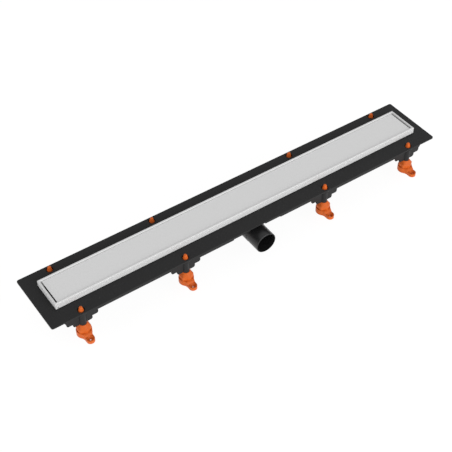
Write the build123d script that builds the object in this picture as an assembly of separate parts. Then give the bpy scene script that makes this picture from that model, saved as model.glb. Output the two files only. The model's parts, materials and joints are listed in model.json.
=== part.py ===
"""Linear shower channel drain: a black moulded channel body with a wide bonding flange, a folded
stainless frame and cover plate, a water trap with a side outlet, and eight feet set by screws.

Millimetres, +Z up. The origin is on the floor under the middle of the channel. X runs along the
channel, and -Y is the near side, where the outlet leaves.
"""
from build123d import *
import os

os.makedirs("parts", exist_ok=True)

# Heights above the floor
FLANGE_TOP = 71.0
OUTLET_AXIS_HEIGHT = 32.0

# Folded stainless frame and cover plate
FRAME_LENGTH = 950.0
FRAME_WIDTH = 77.0
FRAME_HEIGHT = 15.0
FRAME_SEAT_HEIGHT = 1.5
SHEET = 1.5
RIM_WIDTH = 4.0
RIM_BEND_RADIUS = 0.8
LEDGE_REACH = 8.0
COVER_DROP = 2.5
COVER_FOLD_HEIGHT = 8.0
COVER_BEND_RADIUS = 1.2
COVER_SIDE_GAP = 0.4
COVER_END_SLOT = 3.7
LONG_NOTCH_INSET = 5.5
LONG_NOTCH_HEIGHT = 4.0
END_NOTCH_INSET = 3.0
END_NOTCH_HEIGHT = 8.0
NOTCH_WIDTH = 0.9
NOTCH_CUT = 4.5

# Bonding flange of the channel body, which stands out past the frame on every side
FLANGE_END_MARGIN = 30.0
FLANGE_SIDE_MARGIN = 38.5
FLANGE_THICKNESS = 3.0
FLANGE_CORNER_RADIUS = 4.5
RIB_OVERLAP = 1.5

# Trough under the cover
TROUGH_WALL = 2.5
TROUGH_SETBACK = 1.0
TROUGH_END_DEPTH = 8.0
TROUGH_FALL = 3.0
TROUGH_FLAT_HALF = 45.0
TROUGH_BOTTOM_RADIUS = 1.5

# Ribs under the flange
LONG_RIB_END_INSET = 2.0
LONG_RIB_SIDE_INSET = 11.0
LONG_RIB_DEPTH = 20.5
RIB_THICKNESS = 3.0
OUTLET_NOTCH_LENGTH = 126.0
OUTLET_NOTCH_RAISE = 2.5
OUTLET_ARCH_CLEARANCE = 5.5
WEB_COUNT = 7
WEB_THICKNESS = 2.5
WEB_TAPER = 6.0

# Legs: each stands a whole number of webs from the middle
INNER_LEG_WEB = 3
OUTER_LEG_WEB = 7
LEG_END_INSET = 41.0
BOSS_DIAMETER = 15.0
BOSS_BOTTOM_DEPTH = 40.0
BOSS_HEAD_DIAMETER = 21.0
BOSS_HEAD_DEPTH = 8.0
TIP_HOLE_DIAMETER = 16.0
TIP_HOLE_DEPTH = 4.0
GUSSET_STEPS = ((36.0, 30.5), (22.0, 40.0))
GUSSET_CORNER_RADIUS = 4.5

# Adjusting screw
SHANK_DIAMETER = 12.0
SHANK_CLEARANCE = 0.2
TIP_RISE = 9.3
TIP_TAPER_LENGTH = 12.0
TIP_POINT_RADIUS = 3.0
COLLAR_ACROSS_FLATS = 28.0
COLLAR_SIDE_HEIGHT = 8.5
COLLAR_TOP_DIAMETER = 17.0
COLLAR_TURN = 30.0
COLLAR_GAP = 0.2
STUB_DIAMETER = 12.8
STUB_LENGTH = 9.0
STUB_BEAD = 0.7
STUB_BEAD_HEIGHT = 2.0
STUB_CLEARANCE = 0.2

# Foot pad
PAD_DIAMETER = 33.0
PAD_HEIGHT = 13.0
LUG_REACH = 26.0
LUG_WIDTH = 18.0
LUG_THICKNESS = 8.0
LUG_NECK_RADIUS = 16.0
LUG_RAMP_LENGTH = 6.0
LUG_RAMP_RADIUS = 9.0
PAD_EDGE_RADIUS = 1.0
FLOOR_SCREW_DIAMETER = 5.0
COUNTERSINK_DIAMETER = 12.5

# Trap bowl and outlet spigot
SPIGOT_DIAMETER = 50.0
SPIGOT_WALL = 1.8
SPIGOT_END_Y = 100.0
SPIGOT_LENGTH = 40.0
SPIGOT_CHAMFER = 0.9
OUTLET_NECK_DIAMETER = 50.8
BOWL_TOP_DIAMETER = 76.0
BOWL_BOTTOM_DIAMETER = 58.0
BOWL_WALL = 2.5
BOWL_FLOOR_THICKNESS = 2.0
BOWL_DROP = 0.6
BOWL_RIM_DIAMETER = 84.0
BOWL_RIM_HEIGHT = 3.0
BOWL_CORNER_RADIUS = 5.0

# Dip tube, cup, seal and strainer
FUNNEL_SIDE_GAP = 2.0
FUNNEL_RIM_WIDTH = 2.0
FUNNEL_CLEARANCE = 0.5
FUNNEL_RIM_HEIGHT = 2.5
FUNNEL_WALL = 1.8
FUNNEL_NECK_DEPTH = 5.0
FUNNEL_CONE_HEIGHT = 7.0
SEAL_HEIGHT = 1.0
DIP_TUBE_DIAMETER = 26.0
DIP_TUBE_MOUTH_HEIGHT = 19.0
CUP_CLEARANCE = 1.5
CUP_WALL = 1.6
CUP_BOTTOM_HEIGHT = 13.0
CUP_RIM_HEIGHT = 43.0
CUP_CORNER_RADIUS = 3.2
FIN_COUNT = 3
FIN_START_ANGLE = 90.0
FIN_THICKNESS = 2.0
FIN_BOTTOM_HEIGHT = 29.0
FIN_CLEARANCE = 0.2
NIB_HEIGHT = 3.0
NIB_DROP = 6.0
STRAINER_HEIGHT = 1.5
STRAINER_SEAT = 1.5
STRAINER_CLEARANCE = 0.3
STRAINER_HUB_RADIUS = 4.0
STRAINER_SLOT_COUNT = 16
STRAINER_SLOT_WIDTH = 2.4

# Heights and places worked out from the driving sizes
FLANGE_LENGTH = FRAME_LENGTH + 2 * FLANGE_END_MARGIN
FLANGE_WIDTH = FRAME_WIDTH + 2 * FLANGE_SIDE_MARGIN
FLANGE_UNDERSIDE = FLANGE_TOP - FLANGE_THICKNESS
FRAME_BOTTOM = FLANGE_TOP + FRAME_SEAT_HEIGHT
FRAME_TOP = FRAME_BOTTOM + FRAME_HEIGHT
COVER_TOP = FRAME_TOP - COVER_DROP
LEDGE_TOP = COVER_TOP - COVER_FOLD_HEIGHT
LEDGE_UNDERSIDE = LEDGE_TOP - SHEET
LONG_RIB_LENGTH = FRAME_LENGTH - 2 * LONG_RIB_END_INSET
TROUGH_LENGTH = FRAME_LENGTH - 2 * (RIM_WIDTH + TROUGH_SETBACK)
TROUGH_WIDTH = FRAME_WIDTH - 2 * (RIM_WIDTH + LEDGE_REACH - TROUGH_SETBACK)
TROUGH_END_FLOOR = FLANGE_TOP - TROUGH_END_DEPTH
TROUGH_FLOOR = TROUGH_END_FLOOR - TROUGH_FALL
TROUGH_UNDERSIDE = TROUGH_FLOOR - TROUGH_WALL
BOSS_BOTTOM = FLANGE_TOP - BOSS_BOTTOM_DEPTH
SPIGOT_RADIUS = SPIGOT_DIAMETER / 2
SPIGOT_BORE_RADIUS = SPIGOT_RADIUS - SPIGOT_WALL
BOWL_BOTTOM = OUTLET_AXIS_HEIGHT - SPIGOT_RADIUS - BOWL_DROP
FUNNEL_RIM_DIAMETER = TROUGH_WIDTH - 2 * FUNNEL_SIDE_GAP
DRAIN_HOLE_DIAMETER = FUNNEL_RIM_DIAMETER - 2 * FUNNEL_RIM_WIDTH
CUP_DIAMETER = DRAIN_HOLE_DIAMETER - 2 * CUP_CLEARANCE
WEB_PITCH = (FRAME_LENGTH / 2 - LEG_END_INSET) / OUTER_LEG_WEB
LEG_Y = FLANGE_WIDTH / 2 - LONG_RIB_SIDE_INSET
LEG_XS = [web * WEB_PITCH for web in (-OUTER_LEG_WEB, -INNER_LEG_WEB, INNER_LEG_WEB, OUTER_LEG_WEB)]
SIDES = {"near": -1, "far": 1}

# How a box stands on the height it is placed at, and how close two places count as the same
STANDING = (Align.CENTER, Align.CENTER, Align.MIN)
SAME = 0.01


def disc(diameter, bottom, height):
    """A disc standing on the height `bottom`, round the Z axis."""
    return Pos(0, 0, bottom) * extrude(Circle(diameter / 2), height)


def upright_plate(sketch, y, thickness):
    """A sketch drawn in X and Z, made into a plate centred on the plane at `y`."""
    return Pos(0, y, 0) * extrude(Plane.XZ * sketch, thickness / 2, both=True)


def hanging_panel(half_length, bottom, x=0.0):
    """A panel from the flange down to `bottom`, with rounded lower corners, in X and Z."""
    height = FLANGE_UNDERSIDE + RIB_OVERLAP - bottom
    panel = Pos(x, bottom + height / 2) * Rectangle(2 * half_length, height)
    lower_corners = panel.vertices().sort_by(Axis.Y)[:2]
    return fillet(lower_corners, GUSSET_CORNER_RADIUS)


def trough_outline(half_length, top, offset_down):
    """Side outline of the trough: its floor falls from both ends to a flat middle."""
    end_floor = TROUGH_END_FLOOR - offset_down
    middle_floor = TROUGH_FLOOR - offset_down
    return Polygon(
        (-half_length, top), (-half_length, end_floor), (-TROUGH_FLAT_HALF, middle_floor),
        (TROUGH_FLAT_HALF, middle_floor), (half_length, end_floor), (half_length, top),
        align=None)


def trough_solid(half_length, half_width, top, offset_down, bottom_radius):
    """The trough's outer block or its hollow, with its long bottom edges rounded."""
    block = upright_plate(trough_outline(half_length, top, offset_down), 0, 2 * half_width)
    low_edges = [edge for edge in block.edges()
                 if abs(abs(edge.center().Y) - half_width) < SAME
                 and edge.center().Z < TROUGH_END_FLOOR
                 and edge.bounding_box().size.X > SAME]
    return fillet(low_edges, bottom_radius)


def long_rib(side):
    """The rib along one side with the stepped gussets of its four bosses."""
    panel = hanging_panel(LONG_RIB_LENGTH / 2, FLANGE_TOP - LONG_RIB_DEPTH)
    notch_centre = FLANGE_TOP - LONG_RIB_DEPTH + OUTLET_NOTCH_RAISE / 2
    panel -= Pos(0, notch_centre) * Rectangle(OUTLET_NOTCH_LENGTH, OUTLET_NOTCH_RAISE)
    for x in LEG_XS:
        for half_length, depth in GUSSET_STEPS:
            panel += hanging_panel(half_length, FLANGE_TOP - depth, x)
    if side < 0:
        panel -= Pos(0, OUTLET_AXIS_HEIGHT) * Circle(SPIGOT_RADIUS + OUTLET_ARCH_CLEARANCE)
    return upright_plate(panel, side * LEG_Y, RIB_THICKNESS)


def cross_web(x, side):
    """A web across the flange, from the trough's side wall to the long rib."""
    inner = TROUGH_WIDTH / 2 + TROUGH_WALL / 2
    top = FLANGE_UNDERSIDE + RIB_OVERLAP
    rib_bottom = FLANGE_TOP - LONG_RIB_DEPTH
    web = Polygon((inner, top), (inner, rib_bottom + WEB_TAPER), (LEG_Y, rib_bottom), (LEG_Y, top),
                  align=None)
    plate = extrude(Plane.YZ * web, WEB_THICKNESS / 2, both=True)
    if side < 0:
        plate = mirror(plate, about=Plane.XZ)
    return Pos(x, 0, 0) * plate


def boss(x, y):
    """The tube that an adjusting screw runs in, with the wider head under the flange."""
    top = FLANGE_UNDERSIDE + RIB_OVERLAP
    head_bottom = FLANGE_TOP - BOSS_HEAD_DEPTH
    tube = disc(BOSS_DIAMETER, BOSS_BOTTOM, top - BOSS_BOTTOM)
    return Pos(x, y, 0) * (tube + disc(BOSS_HEAD_DIAMETER, head_bottom, top - head_bottom))


def boss_hole(x, y):
    """The screw's bore with the wider hole that its tip stands in."""
    bore = disc(SHANK_DIAMETER + 2 * SHANK_CLEARANCE, BOSS_BOTTOM, BOSS_BOTTOM_DEPTH)
    mouth = disc(TIP_HOLE_DIAMETER, FLANGE_TOP - TIP_HOLE_DEPTH, TIP_HOLE_DEPTH)
    return Pos(x, y, 0) * (bore + mouth)


def channel_body():
    """The black moulding: flange, frame seat, trough, ribs, webs and bosses in one piece."""
    plate = RectangleRounded(FLANGE_LENGTH, FLANGE_WIDTH, FLANGE_CORNER_RADIUS)
    body = Pos(0, 0, FLANGE_UNDERSIDE) * extrude(plate, FLANGE_THICKNESS)
    seat = Box(FRAME_LENGTH, FRAME_WIDTH, RIB_OVERLAP + FRAME_SEAT_HEIGHT, align=STANDING)
    body += Pos(0, 0, FLANGE_TOP - RIB_OVERLAP) * seat
    body += trough_solid(TROUGH_LENGTH / 2 + TROUGH_WALL, TROUGH_WIDTH / 2 + TROUGH_WALL,
                         LEDGE_UNDERSIDE, TROUGH_WALL, TROUGH_BOTTOM_RADIUS + TROUGH_WALL)
    body += disc(BOWL_RIM_DIAMETER, TROUGH_UNDERSIDE, TROUGH_WALL)
    for side in SIDES.values():
        body += long_rib(side)
        for count in range(1, WEB_COUNT + 1):
            body += cross_web(count * WEB_PITCH, side)
            body += cross_web(-count * WEB_PITCH, side)
        for x in LEG_XS:
            body += boss(x, side * LEG_Y)
    end_rib_bottom = FLANGE_TOP - LONG_RIB_DEPTH
    end_rib_height = FLANGE_UNDERSIDE + RIB_OVERLAP - end_rib_bottom
    end_rib = Box(RIB_THICKNESS, 2 * LEG_Y, end_rib_height, align=STANDING)
    end_rib_x = LONG_RIB_LENGTH / 2 - GUSSET_CORNER_RADIUS - RIB_THICKNESS / 2
    for end in (-1, 1):
        body += Pos(end * end_rib_x, 0, end_rib_bottom) * end_rib
    body -= trough_solid(TROUGH_LENGTH / 2, TROUGH_WIDTH / 2, LEDGE_UNDERSIDE, 0.0, TROUGH_BOTTOM_RADIUS)
    body -= disc(DRAIN_HOLE_DIAMETER, TROUGH_UNDERSIDE, 2 * TROUGH_WALL)
    for side in SIDES.values():
        for x in LEG_XS:
            body -= boss_hole(x, side * LEG_Y)
    return body


def frame():
    """The stainless frame: one folded section carried round with mitred corners, whose ledge is
    left out across both ends."""
    half_x, edge = FRAME_LENGTH / 2, FRAME_WIDTH / 2
    inner = edge - RIM_WIDTH
    section = Plane.YZ * Polygon(
        (edge, FRAME_BOTTOM), (edge, FRAME_TOP), (inner, FRAME_TOP), (inner, LEDGE_TOP),
        (inner - LEDGE_REACH, LEDGE_TOP), (inner - LEDGE_REACH, LEDGE_UNDERSIDE),
        (inner + SHEET, LEDGE_UNDERSIDE), (inner + SHEET, FRAME_TOP - SHEET),
        (edge - SHEET, FRAME_TOP - SHEET), (edge - SHEET, FRAME_BOTTOM),
        align=None)
    rim_corners = section.vertices().group_by(Axis.Z)[-1]
    section = fillet(rim_corners, RIM_BEND_RADIUS)
    corners = [(half_x, edge), (half_x, -edge), (-half_x, -edge), (-half_x, edge)]
    round_trip = [(0, edge), *corners, (0, edge)]
    path = Polyline([(x, y, FRAME_BOTTOM) for x, y in round_trip])
    body = sweep(section, path=path, transition=Transition.RIGHT)
    long_notch = Box(NOTCH_WIDTH, NOTCH_CUT, LONG_NOTCH_HEIGHT, align=STANDING)
    end_notch = Box(NOTCH_CUT, NOTCH_WIDTH, END_NOTCH_HEIGHT, align=STANDING)
    for end in (-1, 1):
        for side in (-1, 1):
            body -= Pos(end * (half_x - LONG_NOTCH_INSET), side * edge, FRAME_BOTTOM) * long_notch
            body -= Pos(end * half_x, side * (edge - END_NOTCH_INSET), FRAME_BOTTOM) * end_notch
        open_end = Box(LEDGE_REACH, 2 * (inner - LEDGE_REACH), SHEET, align=STANDING)
        body -= Pos(end * (half_x - RIM_WIDTH - LEDGE_REACH / 2), 0, LEDGE_UNDERSIDE) * open_end
    return body


def cover_plate():
    """The stainless cover: a plate with both long sides folded down onto the frame's ledge."""
    edge = FRAME_WIDTH / 2 - RIM_WIDTH - COVER_SIDE_GAP
    section = Plane.YZ * Polygon(
        (-edge, LEDGE_TOP), (-edge, COVER_TOP), (edge, COVER_TOP), (edge, LEDGE_TOP),
        (edge - SHEET, LEDGE_TOP), (edge - SHEET, COVER_TOP - SHEET),
        (-edge + SHEET, COVER_TOP - SHEET), (-edge + SHEET, LEDGE_TOP),
        align=None)
    section = fillet(section.vertices().group_by(Axis.Z)[-1], COVER_BEND_RADIUS)
    length = FRAME_LENGTH - 2 * (RIM_WIDTH + COVER_END_SLOT)
    return extrude(section, length / 2, both=True)


def adjusting_screw():
    """A foot's screw: blunt tip, shank, hexagonal collar and the stub that snaps into the pad."""
    shank_radius = SHANK_DIAMETER / 2
    stub_radius = STUB_DIAMETER / 2
    collar_bottom = PAD_HEIGHT + COLLAR_GAP
    stub_bottom = collar_bottom - STUB_LENGTH
    collar_shoulder = collar_bottom + COLLAR_SIDE_HEIGHT
    collar_top = BOSS_BOTTOM - COLLAR_GAP
    tip_top = FLANGE_TOP + TIP_RISE
    taper_bottom = tip_top - TIP_TAPER_LENGTH
    shank = Plane.XZ * Polygon(
        (0, collar_shoulder), (shank_radius, collar_shoulder), (shank_radius, taper_bottom),
        (TIP_POINT_RADIUS, tip_top), (0, tip_top), align=None)
    point = [corner for corner in shank.vertices()
             if abs(corner.Z - tip_top) < SAME and corner.X > TIP_POINT_RADIUS / 2]
    shank = fillet(point, TIP_POINT_RADIUS)
    body = revolve(shank, Axis.Z)
    hexagon = RegularPolygon(COLLAR_ACROSS_FLATS / 2, 6, major_radius=False, rotation=COLLAR_TURN)
    body += Pos(0, 0, collar_bottom) * extrude(hexagon, COLLAR_SIDE_HEIGHT)
    neck = Circle(COLLAR_TOP_DIAMETER / 2)
    body += loft([Pos(0, 0, collar_shoulder) * hexagon, Pos(0, 0, collar_top) * neck])
    stub = Plane.XZ * Polygon(
        (0, stub_bottom), (stub_radius, stub_bottom),
        (stub_radius + STUB_BEAD, stub_bottom + STUB_BEAD_HEIGHT / 2),
        (stub_radius, stub_bottom + STUB_BEAD_HEIGHT), (stub_radius, collar_bottom), (0, collar_bottom),
        align=None)
    body += revolve(stub, Axis.Z)
    return body


def foot_pad():
    """A foot: a round pad with a ramp down to a lug, whose screw hole is countersunk."""
    pad_radius = PAD_DIAMETER / 2
    lug_radius = LUG_WIDTH / 2
    outline = Circle(pad_radius) + Pos(0, -LUG_REACH / 2) * Rectangle(LUG_WIDTH, LUG_REACH)
    neck = [corner for corner in outline.vertices() if -LUG_REACH + SAME < corner.Y < -SAME]
    outline = fillet(neck, LUG_NECK_RADIUS)
    outline += Pos(0, -LUG_REACH) * Circle(lug_radius)
    far_end = LUG_REACH + LUG_WIDTH
    ramp_top = (-COLLAR_ACROSS_FLATS / 2, PAD_HEIGHT)
    ramp_bottom = (-COLLAR_ACROSS_FLATS / 2 - LUG_RAMP_LENGTH, LUG_THICKNESS)
    top = Line((PAD_DIAMETER, PAD_HEIGHT), ramp_top)
    ramp = RadiusArc(ramp_top, ramp_bottom, -LUG_RAMP_RADIUS)
    low = Polyline(ramp_bottom, (-far_end, LUG_THICKNESS), (-far_end, 0), (PAD_DIAMETER, 0),
                   (PAD_DIAMETER, PAD_HEIGHT))
    side_view = Plane.YZ * make_face(Curve() + [top, ramp, low])
    body = extrude(outline, PAD_HEIGHT) & extrude(side_view, PAD_DIAMETER, both=True)
    body = fillet(body.edges().group_by(Axis.Z)[-1].sort_by(SortBy.LENGTH)[-1:], PAD_EDGE_RADIUS)
    hole = Circle(FLOOR_SCREW_DIAMETER / 2)
    body -= Pos(0, -LUG_REACH, 0) * extrude(hole, PAD_HEIGHT)
    sink_depth = (COUNTERSINK_DIAMETER - FLOOR_SCREW_DIAMETER) / 2
    body -= Pos(0, -LUG_REACH, LUG_THICKNESS - sink_depth / 2) * Cone(
        FLOOR_SCREW_DIAMETER / 2, COUNTERSINK_DIAMETER / 2, sink_depth)
    socket_radius = STUB_DIAMETER / 2 + STUB_CLEARANCE
    socket_bottom = PAD_HEIGHT - STUB_LENGTH
    bead_top = socket_bottom + STUB_BEAD_HEIGHT + 2 * STUB_CLEARANCE
    socket = Plane.XZ * Polygon(
        (0, socket_bottom), (socket_radius, socket_bottom),
        (socket_radius + STUB_BEAD, (socket_bottom + bead_top) / 2), (socket_radius, bead_top),
        (socket_radius, PAD_HEIGHT), (0, PAD_HEIGHT), align=None)
    body -= revolve(socket, Axis.Z)
    return body


def trap_housing():
    """The bowl bonded under the trough, with the neck and the outlet spigot on its near side. A
    pipe socket slides onto the spigot up to the neck."""
    top_radius = BOWL_TOP_DIAMETER / 2
    bottom_radius = BOWL_BOTTOM_DIAMETER / 2
    outside = Plane.XZ * Polygon((0, BOWL_BOTTOM), (bottom_radius, BOWL_BOTTOM),
                                 (top_radius, TROUGH_UNDERSIDE), (0, TROUGH_UNDERSIDE), align=None)
    low_corner = [corner for corner in outside.vertices() if abs(corner.X - bottom_radius) < SAME]
    body = revolve(fillet(low_corner, BOWL_CORNER_RADIUS), Axis.Z)
    body += disc(BOWL_RIM_DIAMETER, TROUGH_UNDERSIDE - BOWL_RIM_HEIGHT, BOWL_RIM_HEIGHT)
    outlet = Plane((0, 0, OUTLET_AXIS_HEIGHT), x_dir=(1, 0, 0), z_dir=(0, -1, 0))
    spigot = extrude(outlet * Circle(SPIGOT_RADIUS), SPIGOT_END_Y)
    body += chamfer(spigot.edges().sort_by(Axis.Y)[0], SPIGOT_CHAMFER)
    body += extrude(outlet * Circle(OUTLET_NECK_DIAMETER / 2), SPIGOT_END_Y - SPIGOT_LENGTH)
    floor = BOWL_BOTTOM + BOWL_FLOOR_THICKNESS
    inner_bottom = bottom_radius - BOWL_WALL
    inside = Plane.XZ * Polygon((0, floor), (inner_bottom, floor),
                                (top_radius - BOWL_WALL, TROUGH_UNDERSIDE), (0, TROUGH_UNDERSIDE),
                                align=None)
    low_corner = [corner for corner in inside.vertices() if abs(corner.X - inner_bottom) < SAME]
    body -= revolve(fillet(low_corner, BOWL_CORNER_RADIUS - BOWL_WALL), Axis.Z)
    body -= extrude(outlet * Circle(SPIGOT_BORE_RADIUS), SPIGOT_END_Y)
    return body


def funnel_sizes():
    """Radii of the funnel's neck and its hollow."""
    neck = (DRAIN_HOLE_DIAMETER - FUNNEL_CLEARANCE) / 2
    return neck, neck - FUNNEL_WALL


def dip_tube():
    """The removable funnel and tube, with the fins that carry the cup."""
    neck, hollow = funnel_sizes()
    rim_bottom = TROUGH_FLOOR + SEAL_HEIGHT
    rim_top = rim_bottom + FUNNEL_RIM_HEIGHT
    seat = rim_top - STRAINER_SEAT
    neck_bottom = TROUGH_FLOOR - FUNNEL_NECK_DEPTH
    cone_bottom = neck_bottom - FUNNEL_CONE_HEIGHT
    tube = DIP_TUBE_DIAMETER / 2
    bore = tube - FUNNEL_WALL
    strainer = hollow + FUNNEL_WALL / 2
    half = Plane.XZ * Polygon(
        (bore, DIP_TUBE_MOUTH_HEIGHT), (tube, DIP_TUBE_MOUTH_HEIGHT), (tube, cone_bottom),
        (neck, neck_bottom), (neck, rim_bottom), (FUNNEL_RIM_DIAMETER / 2, rim_bottom),
        (FUNNEL_RIM_DIAMETER / 2, rim_top), (strainer, rim_top), (strainer, seat), (hollow, seat),
        (hollow, neck_bottom), (bore, cone_bottom), align=None)
    body = revolve(half, Axis.Z)
    fin_reach = CUP_DIAMETER / 2 - CUP_WALL - FIN_CLEARANCE
    fin_root = tube - FUNNEL_WALL / 2
    nib_bottom = CUP_RIM_HEIGHT - NIB_DROP
    fin = Plane.XZ * Polygon(
        (fin_root, FIN_BOTTOM_HEIGHT), (fin_reach, FIN_BOTTOM_HEIGHT), (fin_reach, nib_bottom),
        (CUP_DIAMETER / 2, nib_bottom), (CUP_DIAMETER / 2, nib_bottom + NIB_HEIGHT),
        (fin_reach, nib_bottom + NIB_HEIGHT), (fin_reach, CUP_RIM_HEIGHT), (fin_root, cone_bottom),
        align=None)
    blade = extrude(fin, FIN_THICKNESS / 2, both=True)
    for count in range(FIN_COUNT):
        body += Rot(0, 0, FIN_START_ANGLE + count * 360 / FIN_COUNT) * blade
    return body


def trap_cup():
    """The cup that holds the water seal, with windows for the fins' nibs."""
    height = CUP_RIM_HEIGHT - CUP_BOTTOM_HEIGHT
    body = disc(CUP_DIAMETER, CUP_BOTTOM_HEIGHT, height)
    body = fillet(body.edges().group_by(Axis.Z)[0], CUP_CORNER_RADIUS)
    hollow = disc(CUP_DIAMETER - 2 * CUP_WALL, CUP_BOTTOM_HEIGHT + CUP_WALL, height)
    body -= fillet(hollow.edges().group_by(Axis.Z)[0], CUP_CORNER_RADIUS - CUP_WALL)
    window_height = NIB_HEIGHT + 2 * FIN_CLEARANCE
    window_bottom = CUP_RIM_HEIGHT - NIB_DROP - FIN_CLEARANCE
    window = Box(CUP_DIAMETER, FIN_THICKNESS + 2 * FIN_CLEARANCE, window_height,
                 align=(Align.MIN, Align.CENTER, Align.MIN))
    for count in range(FIN_COUNT):
        body -= Rot(0, 0, FIN_START_ANGLE + count * 360 / FIN_COUNT) * Pos(0, 0, window_bottom) * window
    return body


def funnel_seal():
    """The flat rubber ring between the funnel's rim and the trough's floor."""
    outer = disc(FUNNEL_RIM_DIAMETER, TROUGH_FLOOR, SEAL_HEIGHT)
    return outer - disc(DRAIN_HOLE_DIAMETER, TROUGH_FLOOR, SEAL_HEIGHT)


def hair_strainer():
    """The slotted disc that lies in the funnel's mouth."""
    hollow = funnel_sizes()[1]
    radius = hollow + FUNNEL_WALL / 2 - STRAINER_CLEARANCE
    bottom = TROUGH_FLOOR + SEAL_HEIGHT + FUNNEL_RIM_HEIGHT - STRAINER_SEAT
    plate = Circle(radius)
    slot_end = hollow - STRAINER_SLOT_WIDTH
    slot_length = slot_end - 2 * STRAINER_HUB_RADIUS
    slot = Pos(slot_end - slot_length / 2, 0) * SlotOverall(slot_length, STRAINER_SLOT_WIDTH)
    for count in range(STRAINER_SLOT_COUNT):
        plate -= Rot(0, 0, count * 360 / STRAINER_SLOT_COUNT) * slot
    return Pos(0, 0, bottom) * extrude(plate, STRAINER_HEIGHT)


def write(name, shape):
    """Save one node."""
    shape.label = name
    export_step(shape, f"parts/{name}.step")


write("channel_body", channel_body())
write("frame", frame())
write("cover_plate", cover_plate())
write("trap_housing", trap_housing())
write("dip_tube", dip_tube())
write("trap_cup", trap_cup())
write("funnel_seal", funnel_seal())
write("hair_strainer", hair_strainer())

screw = adjusting_screw()
pad = foot_pad()
for side_name, side in SIDES.items():
    turn = 0 if side < 0 else 180
    for number, x in enumerate(LEG_XS, start=1):
        leg = Pos(x, side * LEG_Y, 0)
        write(f"adjusting_screw_{side_name}_{number}", leg * screw)
        write(f"foot_pad_{side_name}_{number}", leg * Rot(0, 0, turn) * pad)
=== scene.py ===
"""Looks of a linear shower channel drain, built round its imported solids.

Everything is in metres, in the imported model's own frame: +Z is up, X runs along the channel and
-Y is the side where the outlet leaves. The feet stand at z = 0 when they are screwed right in.
"""

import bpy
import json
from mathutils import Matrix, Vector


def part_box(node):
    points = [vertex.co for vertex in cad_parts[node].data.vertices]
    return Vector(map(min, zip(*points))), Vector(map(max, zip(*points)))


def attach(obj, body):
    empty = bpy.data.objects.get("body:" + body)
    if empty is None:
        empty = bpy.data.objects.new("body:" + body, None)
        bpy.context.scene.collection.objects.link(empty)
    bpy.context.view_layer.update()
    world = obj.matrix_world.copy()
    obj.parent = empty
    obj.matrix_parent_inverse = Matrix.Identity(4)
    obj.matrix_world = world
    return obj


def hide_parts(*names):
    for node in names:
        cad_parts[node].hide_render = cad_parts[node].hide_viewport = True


bl_info = {
    "name": "Shower Channel Drain",
    "version": (1, 0, 0),
    "blender": (4, 5, 0),
    "location": "View3D > Sidebar > Channel Drain",
    "description": "Finishes, threaded foot screws, foot pads and a pale studio for a channel drain",
    "category": "Object",
}

import json
import math

import bmesh
import bpy
import numpy as np
from bpy.props import FloatProperty, FloatVectorProperty, IntProperty, PointerProperty
from mathutils import Vector

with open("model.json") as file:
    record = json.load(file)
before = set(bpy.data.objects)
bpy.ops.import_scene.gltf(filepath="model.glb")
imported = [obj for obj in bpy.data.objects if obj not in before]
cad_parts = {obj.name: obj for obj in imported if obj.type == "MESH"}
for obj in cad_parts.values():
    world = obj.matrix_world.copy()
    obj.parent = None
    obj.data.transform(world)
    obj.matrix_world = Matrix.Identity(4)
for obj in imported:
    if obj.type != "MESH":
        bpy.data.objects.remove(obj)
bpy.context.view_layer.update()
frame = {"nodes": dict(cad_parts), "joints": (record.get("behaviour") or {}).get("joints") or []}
NODES = frame["nodes"]

LEGS = [f"{side}_{number}" for side in ("near", "far") for number in range(1, 5)]
PAD_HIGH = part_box("foot_pad_near_1")[1]
SCREW_LOW, SCREW_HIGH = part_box("adjusting_screw_near_1")
FRAME_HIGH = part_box("frame")[1]
FOOT_TRAVEL = max(joint["range_m"][1] for joint in frame["joints"] if joint["type"] == "slide")
MILLIMETRE = 0.001

# What the groups of the finishes give, and the brushed grain's cells in a metre along and across it
SKIN_OUTPUTS = [(label, "NodeSocketFloat") for label in ("Tone", "Roughness", "Height")]
FINE_GRAIN = (9.0, 2600.0)
WIDE_GRAIN = (1.5, 260.0)
FINE_SHARE, WIDE_SHARE = 0.65, 0.35

# Softened edges of the screws, and how finely their surfaces are divided
COLLAR_EDGE = 0.45 * MILLIMETRE
CORNER_CUT = 0.5 * MILLIMETRE
# Where a rounded edge bends most, as a share of its rounding
EDGE_MIDDLE = 0.3
# Height of each half of the snap bead, as a multiple of how far it stands out
BEAD_RISE = 1.4
COLLAR_SLOPE_STEPS = 10
THREAD_STEPS_PER_TURN = 12
GROOVE_STEEPNESS = 0.9
TIP_SLOPE_STEPS = 7
TIP_ROUND_STEPS = 8
SCREW_SHARP_ANGLE = 35.0

# Softened edges of the foot pads
PAD_MERGE_DISTANCE = 0.01 * MILLIMETRE
PAD_FLAT_ANGLE = 1.0
PAD_SHARP_ANGLE = 30.0
PAD_EDGE_SEGMENTS = 2

# Camera, floor and lamps; places in metres, angles in degrees, focal length in millimetres
CAMERA_PLACE = (-0.9434, -1.2987, 1.6205)
CAMERA_HEADING = 55.08
CAMERA_PITCH = 45.24
CAMERA_FOCAL = 80.93
CAMERA_SENSOR = 36.0
FLOOR_HALF = 6.0
# Each pair holds the value for light that falls on the part, then the value for what is seen
FLOOR_GREY = (0.8, 0.12)
FLOOR_GLOW = (0.5, 0.93)
WORLD_GLOW = (0.6, 1.0)
# Name, place, side length and power in watts
LAMPS = (
    ("Front", (0.5, -3.2, 0.9), 3.2, 92.0),
    ("Left", (-2.6, -0.3, 0.3), 1.0, 13.0),
)


# Sizes and colours that a user may change

def length(name, description, default):
    """A size in metres, shown with the scene's own unit."""
    return FloatProperty(name=name, description=description, default=default, min=0.0, unit="LENGTH",
                         precision=5)


def colour(name, description, default):
    """A plain colour of a finish."""
    return FloatVectorProperty(name=name, description=description, default=default, subtype="COLOR",
                               size=3, min=0.0, max=1.0)


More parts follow.
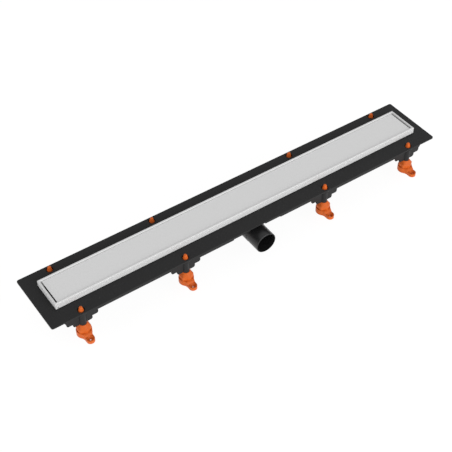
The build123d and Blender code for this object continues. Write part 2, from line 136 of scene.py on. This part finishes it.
class DrainScrewSizes(bpy.types.PropertyGroup):
    """Sizes of the adjusting screws, from the foot up to the tip."""
    across_flats: length("Across flats", "Width of the hexagonal collar between two flats",
                         SCREW_HIGH.x - SCREW_LOW.x)
    collar_gap: length("Collar gap", "Gap between the pad's top and the collar", 0.2 * MILLIMETRE)
    collar_side: length("Collar side", "Height of the collar's upright hexagonal side", 8.5 * MILLIMETRE)
    neck_diameter: length("Neck diameter", "Diameter at the top of the collar", 17.0 * MILLIMETRE)
    neck_height: length("Neck height", "Height of the collar's top above the floor", 30.8 * MILLIMETRE)
    shank_diameter: length("Shank diameter", "Outer diameter of the thread", 12.0 * MILLIMETRE)
    thread_pitch: length("Thread pitch", "Height of one turn of the thread", 3.0 * MILLIMETRE)
    thread_depth: length("Thread depth", "Depth of the thread's groove", 0.7 * MILLIMETRE)
    taper_length: length("Taper length", "Length of the tapered tip", 12.0 * MILLIMETRE)
    tip_radius: length("Tip radius", "Radius and rounding of the blunt end", 3.0 * MILLIMETRE)
    stub_diameter: length("Stub diameter", "Diameter of the stub in the pad", 12.8 * MILLIMETRE)
    stub_bead: length("Stub bead", "How far the snap bead stands out", 0.7 * MILLIMETRE)
    segments: IntProperty(name="Segments", description="Faces round a screw", default=60, min=24, max=180)


class DrainEdgeSizes(bpy.types.PropertyGroup):
    """Roundings of the moulded edges."""
    pad_edge: length("Pad edge", "Rounding of the foot pads' edges", 0.5 * MILLIMETRE)


class DrainColours(bpy.types.PropertyGroup):
    """Plain colours of the finishes."""
    body_plastic: colour("Channel body", "Matt black of the moulded channel body", (0.027, 0.027, 0.0274))
    trap_plastic: colour("Trap", "Satin black of the trap and its outlet", (0.012, 0.012, 0.0125))
    steel: colour("Frame steel", "Brushed stainless steel of the frame", (0.72, 0.72, 0.72))
    cover_steel: colour("Cover steel", "Brushed stainless steel of the cover plate", (0.735, 0.735, 0.735))
    foot_plastic: colour("Feet", "Orange of the feet and their screws", (0.60, 0.116, 0.018))
    insert_plastic: colour("Trap insert", "Grey of the dip tube and the cup", (0.35, 0.36, 0.37))
    rubber: colour("Seal", "Black rubber of the funnel seal", (0.02, 0.02, 0.02))
    strainer_steel: colour("Strainer", "Steel of the hair strainer", (0.55, 0.55, 0.55))


# Node groups that the finishes share

def node(tree, kind, inputs=None, **settings):
    """Add a node to a tree, with its settings and the values or links of its inputs."""
    made = tree.nodes.new(kind)
    for name, value in settings.items():
        setattr(made, name, value)
    for name, value in (inputs or {}).items():
        if isinstance(value, bpy.types.NodeSocket):
            tree.links.new(value, made.inputs[name])
        else:
            made.inputs[name].default_value = value
    return made


def maths(tree, operation, first, second=0.0, third=0.0):
    """The result of a Math node."""
    return node(tree, "ShaderNodeMath", {0: first, 1: second, 2: third}, operation=operation).outputs[0]


def mix(tree, factor, first, second):
    """The first value where the factor is 0, and the second where it is 1."""
    return node(tree, "ShaderNodeMix", {"Factor": factor, "A": first, "B": second}).outputs["Result"]


def group_tree(name, inputs, outputs):
    """An empty shader node group with named inputs and outputs."""
    tree = bpy.data.node_groups.new(name, "ShaderNodeTree")
    for label, kind, default in inputs:
        socket = tree.interface.new_socket(name=label, in_out="INPUT", socket_type=kind)
        if default is not None:
            socket.default_value = default
    for label, kind in outputs:
        tree.interface.new_socket(name=label, in_out="OUTPUT", socket_type=kind)
    return tree, tree.nodes.new("NodeGroupInput"), tree.nodes.new("NodeGroupOutput")


def stretched_noise(tree, vector, scale, detail):
    """Noise whose cells are drawn out along one axis, from a position scaled per axis."""
    scaled = node(tree, "ShaderNodeVectorMath", {0: vector, 1: scale}, operation="MULTIPLY")
    return node(tree, "ShaderNodeTexNoise", {"Vector": scaled.outputs[0], "Scale": 1.0, "Detail": detail,
                                             "Roughness": 0.6}).outputs["Fac"]


def along_axis(axis, along, across):
    """Scales per axis: one along the given axis of the sheet, another across it."""
    return tuple(along if index == axis else across for index in range(3))


def skin_outputs(tree, inlet, outlet, change, height, shade):
    """Give a group's outputs: tone and gloss that follow a change about 0.5, and the relief. The tone is
    also multiplied by shade, which carries painted shade where a group gives one.
    """
    centred = maths(tree, "SUBTRACT", change, 0.5)
    tone = maths(tree, "MULTIPLY_ADD", centred, inlet.outputs["Tone Change"], 1.0)
    rough = maths(tree, "MULTIPLY_ADD", centred, inlet.outputs["Roughness Change"],
                  inlet.outputs["Roughness"])
    tree.links.new(maths(tree, "MULTIPLY", tone, shade), outlet.inputs["Tone"])
    tree.links.new(rough, outlet.inputs["Roughness"])
    tree.links.new(height, outlet.inputs["Height"])


def brushed_group():
    """Grain of brushed sheet: fine streaks along X, and along Y on the end pieces past the mitres.
    The end pieces also get a painted shade that makes them darker, standing in for the lesser light on
    them.

    Half Length and Half Width are the mitred frame's half sizes. A point belongs to an end piece
    where its distance to the end is less than its distance to the side.
    """
    tree, inlet, outlet = group_tree(
        "Brushed Sheet",
        [("Vector", "NodeSocketVector", None), ("Half Length", "NodeSocketFloat", 10.0),
         ("Half Width", "NodeSocketFloat", 0.0), ("Painted End Shade", "NodeSocketFloat", 0.0),
         ("Tone Change", "NodeSocketFloat", 0.04),
         ("Roughness", "NodeSocketFloat", 0.3), ("Roughness Change", "NodeSocketFloat", 0.08)],
        SKIN_OUTPUTS)
    place = inlet.outputs["Vector"]
    parts = node(tree, "ShaderNodeSeparateXYZ", {0: place})
    from_middle = [maths(tree, "ABSOLUTE", parts.outputs[axis]) for axis in ("X", "Y")]
    to_end = maths(tree, "SUBTRACT", inlet.outputs["Half Length"], from_middle[0])
    to_side = maths(tree, "SUBTRACT", inlet.outputs["Half Width"], from_middle[1])
    on_end = maths(tree, "LESS_THAN", to_end, to_side)
    streaks = []
    for axis in (0, 1):
        small = stretched_noise(tree, place, along_axis(axis, *FINE_GRAIN), 3.0)
        large = stretched_noise(tree, place, along_axis(axis, *WIDE_GRAIN), 2.0)
        wide_part = maths(tree, "MULTIPLY", large, WIDE_SHARE)
        streaks.append(maths(tree, "MULTIPLY_ADD", small, FINE_SHARE, wide_part))
    grain = mix(tree, on_end, *streaks)
    # Painted shade: the end pieces' tone is scaled by one plus this negative input, so they render darker.
    painted_end_shade = maths(tree, "MULTIPLY_ADD", on_end, inlet.outputs["Painted End Shade"], 1.0)
    skin_outputs(tree, inlet, outlet, grain, grain, painted_end_shade)
    return tree


def moulded_group():
    """Skin of moulded plastic: a fine spark texture, with slow changes of tone and gloss."""
    tree, inlet, outlet = group_tree(
        "Moulded Skin",
        [("Vector", "NodeSocketVector", None), ("Grain Scale", "NodeSocketFloat", 1500.0),
         ("Tone Change", "NodeSocketFloat", 0.2), ("Roughness", "NodeSocketFloat", 0.45),
         ("Roughness Change", "NodeSocketFloat", 0.12)],
        SKIN_OUTPUTS)
    place = inlet.outputs["Vector"]
    grain = node(tree, "ShaderNodeTexNoise", {"Vector": place, "Scale": inlet.outputs["Grain Scale"],
                                              "Detail": 2.0, "Roughness": 0.55}).outputs["Fac"]
    slow = node(tree, "ShaderNodeTexNoise", {"Vector": place, "Scale": 14.0, "Detail": 3.0,
                                             "Roughness": 0.5}).outputs["Fac"]
    mixed = maths(tree, "MULTIPLY_ADD", grain, 0.5, maths(tree, "MULTIPLY", slow, 0.5))
    skin_outputs(tree, inlet, outlet, mixed, grain, 1.0)
    return tree


GROUPS = {"Brushed Sheet": brushed_group, "Moulded Skin": moulded_group}


def finish_material(name, group_name, tint, values, bump, bump_distance, **shader_values):
    """A finish: a plain colour toned by a shared group, with the group's gloss and bump."""
    made = bpy.data.materials.new(name)
    made.use_nodes = True
    tree = made.node_tree
    tree.nodes.clear()
    group = bpy.data.node_groups.get(group_name) or GROUPS[group_name]()
    place = node(tree, "ShaderNodeTexCoord").outputs["Object"]
    skin = node(tree, "ShaderNodeGroup", node_tree=group)
    tree.links.new(place, skin.inputs["Vector"])
    for label, value in values.items():
        skin.inputs[label].default_value = value
    toned = node(tree, "ShaderNodeVectorMath", {0: tuple(tint), "Scale": skin.outputs["Tone"]},
                 operation="SCALE")
    relief = node(tree, "ShaderNodeBump", {"Height": skin.outputs["Height"], "Strength": bump,
                                           "Distance": bump_distance})
    shader = node(tree, "ShaderNodeBsdfPrincipled", {
        "Base Color": toned.outputs[0], "Roughness": skin.outputs["Roughness"],
        "Normal": relief.outputs["Normal"], **shader_values})
    node(tree, "ShaderNodeOutputMaterial", {"Surface": shader.outputs[0]})
    return made


def paint(obj, material):
    """Give an object one material through its own slot."""
    if not obj.material_slots:
        obj.data.materials.append(material)
    for slot in obj.material_slots:
        slot.link = "OBJECT"
        slot.material = material


# Surfaces

def hexagon_radius(angle, apothem, corner_cut):
    """Radius of a hexagon with a corner towards -Y: the apothem over the cosine of the angle to
    the nearest flat, with the corners held to a circle a little inside the true corner."""
    sector = math.pi / 3
    to_flat = (angle + math.pi / 2) % sector - sector / 2
    limit = apothem / math.cos(sector / 2) - corner_cut
    return np.minimum(apothem / np.cos(to_flat), limit)


def grid_mesh(name, x, y, z):
    """A closed surface from rows of points round an upright axis, joined row to row, with a fan
    from the first and from the last row onto its middle point."""
    rows, columns = x.shape
    points = np.stack([x, y, z], axis=-1).reshape(-1, 3)
    low = points[:columns].mean(axis=0)
    high = points[-columns:].mean(axis=0)
    points = np.vstack([points, low, high])
    row, column = np.meshgrid(np.arange(rows - 1), np.arange(columns), indexing="ij")
    after = (column + 1) % columns
    quads = np.stack([row * columns + column, row * columns + after,
                      (row + 1) * columns + after, (row + 1) * columns + column], axis=-1).reshape(-1, 4)
    ring = np.arange(columns)
    next_ring = (ring + 1) % columns
    low_fan = np.stack([np.full(columns, rows * columns), next_ring, ring], axis=-1)
    top = (rows - 1) * columns
    high_fan = np.stack([np.full(columns, rows * columns + 1), top + ring, top + next_ring], axis=-1)
    mesh = bpy.data.meshes.new(name)
    mesh.from_pydata(points.tolist(), [], quads.tolist() + low_fan.tolist() + high_fan.tolist())
    mesh.validate()
    mesh.update()
    return mesh


def smooth_below(obj, angle):
    """Smooth shading, with the edges sharper than the angle in degrees kept sharp."""
    obj.data.shade_smooth()
    obj.data.set_sharp_from_angle(angle=math.radians(angle))


def screw_rows(sizes):
    """The lower part of the screw's profile, as rows of height, radius and share of hexagon.

    From the foot up: the stub with its bead, the collar's underside, its hexagonal side with
    softened edges, and the slope that turns evenly from hexagon to circle at the neck.
    """
    stub = sizes.stub_diameter / 2
    half = sizes.across_flats / 2
    low = SCREW_LOW.z
    collar = PAD_HIGH.z + sizes.collar_gap
    shoulder = collar + sizes.collar_side
    bead = sizes.stub_bead
    bend = COLLAR_EDGE * EDGE_MIDDLE
    rows = [
        (low, stub - COLLAR_EDGE, 0),
        (low + bead * BEAD_RISE, stub + bead, 0),
        (low + bead * BEAD_RISE * 2, stub, 0),
        (collar, stub, 0),
        (collar, half - COLLAR_EDGE, 1),
        (collar + bend, half - bend, 1),
        (collar + COLLAR_EDGE, half, 1),
        (shoulder - COLLAR_EDGE, half, 1),
        (shoulder - bend, half - bend / 2, 1),
        (shoulder + bend, half - bend * 2, 1),
    ]
    neck = sizes.neck_diameter / 2
    top = sizes.neck_height
    for step in range(1, COLLAR_SLOPE_STEPS + 1):
        share = step / COLLAR_SLOPE_STEPS
        rows.append((shoulder + (top - shoulder) * share, half + (neck - half) * share, 1 - share))
    return rows


def screw_mesh(name, centre_x, centre_y, sizes):
    """A foot's screw as rows round its own axis.

    The lower rows follow screw_rows. Above the neck, the radius is the shank's less a groove
    depth * clip(0.5 - steepness * cos(2 pi height / pitch - turn), 0, 1), which fades out over
    a pitch at both ends. The tip narrows evenly to the blunt end, whose rounding is an arc that touches the
    slope and the flat top.
    """
    turn = np.linspace(0, 2 * math.pi, sizes.segments, endpoint=False)
    profile = np.array(screw_rows(sizes))
    height = np.repeat(profile[:, :1], sizes.segments, axis=1)
    share = profile[:, 2:3]
    hexagon = hexagon_radius(turn[None, :], profile[:, 1:2], CORNER_CUT)
    radius = share * hexagon + (1 - share) * profile[:, 1:2]

    shank = sizes.shank_diameter / 2
    tip_top = SCREW_HIGH.z
    taper_start = tip_top - sizes.taper_length
    count = int((taper_start - sizes.neck_height) / sizes.thread_pitch * THREAD_STEPS_PER_TURN)
    thread_height = np.linspace(sizes.neck_height, taper_start, count)[:, None] + 0 * turn[None, :]
    wave = np.cos(2 * math.pi * (thread_height / sizes.thread_pitch) - turn[None, :])
    groove = np.clip(0.5 - GROOVE_STEEPNESS * wave, 0, 1)
    run_out = sizes.thread_pitch
    fade = (np.clip((thread_height - sizes.neck_height) / run_out, 0, 1)
            * np.clip((taper_start - thread_height) / run_out, 0, 1))
    thread_radius = shank - sizes.thread_depth * groove * fade

    blunt = sizes.tip_radius
    slope = math.atan2(shank - blunt, sizes.taper_length)
    cut_back = blunt * math.tan((math.pi / 2 - slope) / 2)
    share = np.linspace(0, 1, TIP_SLOPE_STEPS + 1)[1:, None]
    slope_height = taper_start + (tip_top - cut_back * math.cos(slope) - taper_start) * share
    slope_radius = shank + (blunt + cut_back * math.sin(slope) - shank) * share
    arc = np.linspace(slope, math.pi / 2, TIP_ROUND_STEPS + 1)[1:, None]
    round_height = tip_top - blunt + blunt * np.sin(arc)
    round_radius = blunt - cut_back + blunt * np.cos(arc)

    tip_height = np.vstack([slope_height, round_height]) + 0 * turn[None, :]
    tip_radius = np.vstack([slope_radius, round_radius]) + 0 * turn[None, :]
    height = np.vstack([height, thread_height[1:], tip_height])
    radius = np.vstack([radius, thread_radius[1:], tip_radius])
    return grid_mesh(name, centre_x + radius * np.cos(turn), centre_y + radius * np.sin(turn), height)


def merged_copy(node_name, name):
    """A joined copy of a CAD node's loose triangles, with its flat faces made whole."""
    mesh = NODES[node_name].data.copy()
    mesh.name = name
    work = bmesh.new()
    work.from_mesh(mesh)
    bmesh.ops.remove_doubles(work, verts=work.verts, dist=PAD_MERGE_DISTANCE)
    bmesh.ops.dissolve_limit(work, angle_limit=math.radians(PAD_FLAT_ANGLE), verts=work.verts,
                             edges=work.edges)
    work.to_mesh(mesh)
    work.free()
    stored = mesh.attributes.get("custom_normal")
    if stored:
        mesh.attributes.remove(stored)
    made = bpy.data.objects.new(name, mesh)
    bpy.context.scene.collection.objects.link(made)
    return made


def soften(obj, width):
    """Round the sharp edges of a foot pad."""
    bevel = obj.modifiers.new("Edge rounding", "BEVEL")
    bevel.width = width
    bevel.segments = PAD_EDGE_SEGMENTS
    bevel.limit_method = "ANGLE"
    bevel.angle_limit = math.radians(PAD_SHARP_ANGLE)
    bevel.harden_normals = True
    obj.data.shade_smooth()


def middle(low, high):
    """The middle of a box."""
    return (Vector(low) + Vector(high)) / 2


# Operators, one for each piece or group of like pieces

class DRAIN_OT_channel_body(bpy.types.Operator):
    """Finish the black moulded channel body"""
    bl_idname = "drain.channel_body"
    bl_label = "Channel Body"

    def execute(self, context):
        colours = context.scene.drain_colours
        plastic = finish_material(
            "Matt Black Moulding", "Moulded Skin", colours.body_plastic,
            {"Grain Scale": 1600.0, "Tone Change": 0.18, "Roughness": 0.46, "Roughness Change": 0.10},
            bump=0.08, bump_distance=0.00012, **{"Specular IOR Level": 0.06})
        paint(NODES["channel_body"], plastic)
        return {"FINISHED"}


class DRAIN_OT_steel(bpy.types.Operator):
    """Finish the brushed frame and the brushed cover plate"""
    bl_idname = "drain.steel"
    bl_label = "Frame and Cover"

    def execute(self, context):
        colours = context.scene.drain_colours
        frame_steel = finish_material(
            "Brushed Frame Steel", "Brushed Sheet", colours.steel,
            # Painted shade: the frame's end pieces are made 7 percent darker.
            {"Half Length": FRAME_HIGH.x, "Half Width": FRAME_HIGH.y, "Painted End Shade": -0.07,
             "Tone Change": 0.05, "Roughness": 0.6, "Roughness Change": 0.10},
            bump=0.04, bump_distance=0.00005, Metallic=0.15)
        cover_steel = finish_material(
            "Brushed Cover Steel", "Brushed Sheet", colours.cover_steel,
            {"Tone Change": 0.05, "Roughness": 0.6, "Roughness Change": 0.10},
            bump=0.04, bump_distance=0.00005, Metallic=0.2, **{"Specular IOR Level": 0.35})
        paint(NODES["frame"], frame_steel)
        paint(NODES["cover_plate"], cover_steel)
        return {"FINISHED"}


class DRAIN_OT_trap(bpy.types.Operator):
    """Finish the trap housing, its insert, the seal and the hair strainer"""
    bl_idname = "drain.trap"
    bl_label = "Trap"

    def execute(self, context):
        colours = context.scene.drain_colours
        housing = finish_material(
            "Satin Black Moulding", "Moulded Skin", colours.trap_plastic,
            {"Grain Scale": 900.0, "Tone Change": 0.25, "Roughness": 0.33, "Roughness Change": 0.10},
            bump=0.10, bump_distance=0.0001, **{"Specular IOR Level": 0.35})
        insert = finish_material(
            "Grey Insert Plastic", "Moulded Skin", colours.insert_plastic,
            {"Grain Scale": 900.0, "Tone Change": 0.12, "Roughness": 0.38, "Roughness Change": 0.10},
            bump=0.10, bump_distance=0.0001)
        rubber = finish_material(
            "Seal Rubber", "Moulded Skin", colours.rubber,
            {"Grain Scale": 2200.0, "Tone Change": 0.3, "Roughness": 0.7, "Roughness Change": 0.1},
            bump=0.3, bump_distance=0.0001, **{"Specular IOR Level": 0.3})
        strainer = finish_material(
            "Strainer Steel", "Brushed Sheet", colours.strainer_steel,
            {"Tone Change": 0.12, "Roughness": 0.38, "Roughness Change": 0.12},
            bump=0.12, bump_distance=0.00005, Metallic=1.0)
        paint(NODES["trap_housing"], housing)
        paint(NODES["dip_tube"], insert)
        paint(NODES["trap_cup"], insert)
        paint(NODES["funnel_seal"], rubber)
        paint(NODES["hair_strainer"], strainer)
        return {"FINISHED"}


def orange_plastic(colours):
    """The orange of the feet, made once."""
    return bpy.data.materials.get("Orange Moulding") or finish_material(
        "Orange Moulding", "Moulded Skin", colours.foot_plastic,
        {"Grain Scale": 1200.0, "Tone Change": 0.06, "Roughness": 0.44, "Roughness Change": 0.08},
        bump=0.02, bump_distance=0.0001, **{"Specular IOR Level": 0.14})


class DRAIN_OT_screws(bpy.types.Operator):
    """Build the eight threaded screws that set the height of the feet"""
    bl_idname = "drain.screws"
    bl_label = "Adjusting Screws"

    def execute(self, context):
        sizes = context.scene.drain_screws
        plastic = orange_plastic(context.scene.drain_colours)
        for leg in LEGS:
            cad_node = f"adjusting_screw_{leg}"
            centre = middle(*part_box(cad_node))
            name = f"threaded_screw_{leg}"
            piece = bpy.data.objects.new(name, screw_mesh(name, centre.x, centre.y, sizes))
            context.scene.collection.objects.link(piece)
            smooth_below(piece, SCREW_SHARP_ANGLE)
            paint(piece, plastic)
            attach(piece, f"screw_{leg}")
            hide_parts(cad_node)
        return {"FINISHED"}


class DRAIN_OT_pads(bpy.types.Operator):
    """Build the eight foot pads with rounded edges"""
    bl_idname = "drain.pads"
    bl_label = "Foot Pads"

    def execute(self, context):
        edges = context.scene.drain_edges
        plastic = orange_plastic(context.scene.drain_colours)
        for leg in LEGS:
            cad_node = f"foot_pad_{leg}"
            piece = merged_copy(cad_node, f"rounded_pad_{leg}")
            soften(piece, edges.pad_edge)
            paint(piece, plastic)
            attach(piece, f"foot_{leg}")
            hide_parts(cad_node)
        return {"FINISHED"}


# Floor, light and camera

def looked_at(tree):
    """1 for camera, mirror and see-through rays, and 0 for the rest."""
    rays = node(tree, "ShaderNodeLightPath").outputs
    either = maths(tree, "MAXIMUM", rays["Is Camera Ray"], rays["Is Glossy Ray"])
    return maths(tree, "MAXIMUM", either, rays["Is Transmission Ray"])


def floor_material():
    """A white floor that keeps a faint shadow where it is looked at, and lights the part as a
    pale floor does. Its back is clear, so that the part can be seen from below."""
    made = bpy.data.materials.new("White Floor")
    made.use_nodes = True
    made.cycles.emission_sampling = "NONE"
    tree = made.node_tree
    tree.nodes.clear()
    seen = looked_at(tree)
    matt = node(tree, "ShaderNodeBsdfDiffuse", {"Color": mix(tree, seen, *FLOOR_GREY)})
    glow = node(tree, "ShaderNodeEmission", {"Strength": mix(tree, seen, *FLOOR_GLOW)})
    both = node(tree, "ShaderNodeAddShader", {0: matt.outputs[0], 1: glow.outputs[0]})
    clear = node(tree, "ShaderNodeBsdfTransparent")
    back = node(tree, "ShaderNodeNewGeometry").outputs["Backfacing"]
    one_sided = node(tree, "ShaderNodeMixShader", {0: back, 1: both.outputs[0], 2: clear.outputs[0]})
    node(tree, "ShaderNodeOutputMaterial", {"Surface": one_sided.outputs[0]})
    return made


def area_light(name, place, size, power):
    """A square soft lamp that looks at the origin."""
    lamp = bpy.data.lights.new(name, "AREA")
    lamp.shape = "SQUARE"
    lamp.size = size
    lamp.energy = power
    holder = bpy.data.objects.new(name, lamp)
    holder.location = place
    holder.rotation_euler = (-Vector(place)).to_track_quat("-Z", "Y").to_euler()
    bpy.context.scene.collection.objects.link(holder)


class DRAIN_OT_stage(bpy.types.Operator):
    """Set the white floor at the feet's lowest setting, the soft lamps and the camera"""
    bl_idname = "drain.stage"
    bl_label = "Stage"

    def execute(self, context):
        scene = context.scene
        corners = [(FLOOR_HALF * x, FLOOR_HALF * y, -FOOT_TRAVEL)
                   for x, y in ((-1, -1), (1, -1), (1, 1), (-1, 1))]
        mesh = bpy.data.meshes.new("floor")
        mesh.from_pydata(corners, [], [(0, 1, 2, 3)])
        floor = bpy.data.objects.new("floor", mesh)
        scene.collection.objects.link(floor)
        paint(floor, floor_material())

        world = bpy.data.worlds.new("Pale Studio")
        scene.world = world
        world.use_nodes = True
        world.cycles.sampling_method = "NONE"
        tree = world.node_tree
        tree.nodes.clear()
        strength = mix(tree, looked_at(tree), *WORLD_GLOW)
        sky = node(tree, "ShaderNodeBackground", {"Color": (1, 1, 1, 1), "Strength": strength})
        node(tree, "ShaderNodeOutputWorld", {"Surface": sky.outputs[0]})

        for lamp in LAMPS:
            area_light(*lamp)

        data = bpy.data.cameras.new("Camera")
        data.lens = CAMERA_FOCAL
        data.sensor_width = CAMERA_SENSOR
        camera = bpy.data.objects.new("Camera", data)
        heading, pitch = math.radians(CAMERA_HEADING), math.radians(CAMERA_PITCH)
        ahead = Vector((math.cos(pitch) * math.cos(heading), math.cos(pitch) * math.sin(heading),
                        -math.sin(pitch)))
        camera.location = CAMERA_PLACE
        camera.rotation_euler = ahead.to_track_quat("-Z", "Y").to_euler()
        scene.collection.objects.link(camera)
        scene.camera = camera
        scene.view_settings.view_transform = "Standard"
        return {"FINISHED"}


class DRAIN_PT_panel(bpy.types.Panel):
    """The drain's pieces, in the order in which they are made"""
    bl_label = "Channel Drain"
    bl_idname = "DRAIN_PT_panel"
    bl_space_type = "VIEW_3D"
    bl_region_type = "UI"
    bl_category = "Channel Drain"

    def draw(self, context):
        layout = self.layout
        for operator in STEPS:
            layout.operator(operator.bl_idname)
        scene = context.scene
        for group in (scene.drain_screws, scene.drain_edges, scene.drain_colours):
            box = layout.box()
            for name in group.bl_rna.properties.keys():
                if name not in ("rna_type", "name"):
                    box.prop(group, name)


STEPS = (DRAIN_OT_channel_body, DRAIN_OT_steel, DRAIN_OT_trap, DRAIN_OT_screws, DRAIN_OT_pads,
         DRAIN_OT_stage)
CLASSES = (DrainScrewSizes, DrainEdgeSizes, DrainColours, *STEPS, DRAIN_PT_panel)


def register():
    for cls in CLASSES:
        bpy.utils.register_class(cls)
    bpy.types.Scene.drain_screws = PointerProperty(type=DrainScrewSizes)
    bpy.types.Scene.drain_edges = PointerProperty(type=DrainEdgeSizes)
    bpy.types.Scene.drain_colours = PointerProperty(type=DrainColours)


def unregister():
    del bpy.types.Scene.drain_colours
    del bpy.types.Scene.drain_edges
    del bpy.types.Scene.drain_screws
    for cls in reversed(CLASSES):
        bpy.utils.unregister_class(cls)


def main():
    register()
    bpy.ops.drain.channel_body()
    bpy.ops.drain.steel()
    bpy.ops.drain.trap()
    bpy.ops.drain.screws()
    bpy.ops.drain.pads()
    bpy.ops.drain.stage()


if __name__ == "__main__":
    main()
